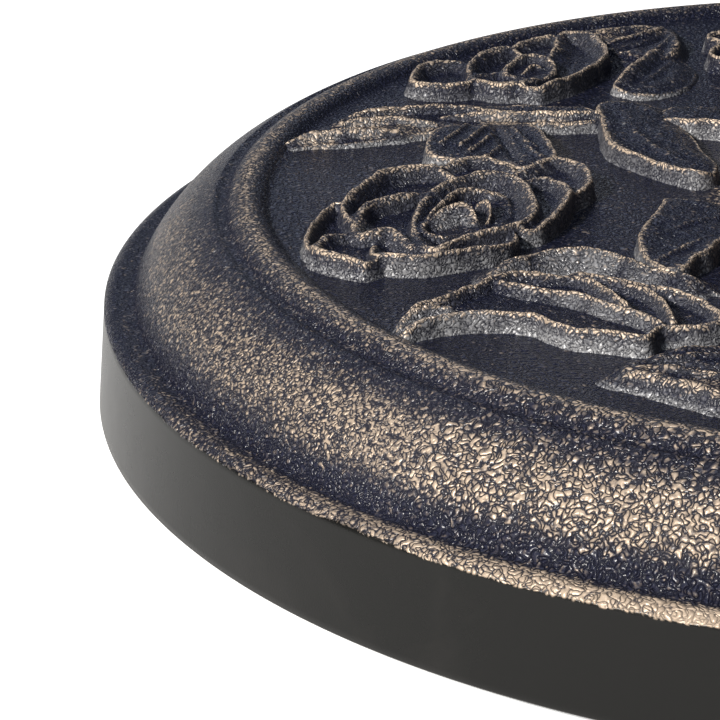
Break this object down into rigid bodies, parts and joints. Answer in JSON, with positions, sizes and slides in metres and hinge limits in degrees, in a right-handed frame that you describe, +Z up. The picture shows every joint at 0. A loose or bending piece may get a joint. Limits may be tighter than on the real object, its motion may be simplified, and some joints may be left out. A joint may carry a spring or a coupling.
{
  "type": "parasol base",
  "caption": "Round weighted parasol base with an ogee rim, raised roses and leaves, and a pole tube with a screw clamp and a reducer.",
  "frame": {"origin": "on the ground at the centre of the base, under its foam pads", "axes": "+Z up along the pole, +X along the clamp's screw towards its knob"},
  "size_m": [0.45, 0.45, 0.321],
  "materials": {
    "bronzed_resin": "hammered dark coat with bronze rubbed on its high points",
    "concrete": "rough cast",
    "zinc_steel": "zinc plated",
    "grey_plastic": "matt",
    "foam": "closed-cell foam",
    "rubber": "matt",
    "powder_coat": "fine textured powder coat",
    "black_plastic": "fine spark texture",
    "bronzed_cap": "satin bronze"
  },
  "bodies": {
    "base": {"base_shell": "bronzed_resin", "ballast_core": "concrete", "anchor_plate": "zinc_steel", "anchor_nuts": "zinc_steel", "drain_sleeve": "grey_plastic", "foot_pad_1": "foam", "foot_pad_2": "foam", "foot_pad_3": "foam", "foot_pad_4": "foam", "foot_pad_5": "foam", "foot_pad_6": "foam", "flange_gasket": "rubber", "tube_flange": "powder_coat", "socket_tube": "powder_coat", "flange_bolts": "zinc_steel", "flange_washers": "zinc_steel", "pole_seat": "black_plastic", "clamp_nut": "powder_coat", "tube_collar": "black_plastic"},
    "cover": {"hub_cover": "bronzed_resin"},
    "reducer": {"pole_reducer": "black_plastic"},
    "shoe": {"clamp_shoe": "grey_plastic"},
    "knob": {"clamp_screw": "zinc_steel", "clamp_knob": "black_plastic", "knob_cap": "bronzed_cap"}
  },
  "joints": [
    {"name": "cover_lift", "type": "slide", "parent": "base", "child": "cover", "axis": [0, 0, 1], "range_m": [0, 0.15]},
    {"name": "reducer_lift", "type": "slide", "parent": "base", "child": "reducer", "axis": [0, 0, 1], "range_m": [0, 0.07]},
    {"name": "shoe_travel", "type": "slide", "parent": "base", "child": "shoe", "axis": [-1, 0, 0], "range_m": [0, 0.01]},
    {"name": "knob_turn", "type": "hinge", "parent": "shoe", "child": "knob", "pos_m": [0.06, 0, 0.292], "axis": [-1, 0, 0], "range_deg": [0, 2400]}
  ],
  "couplings": [
    {"joint": "shoe_travel", "follows": "knob_turn", "m_per_rad": 0.00023873}
  ]
}
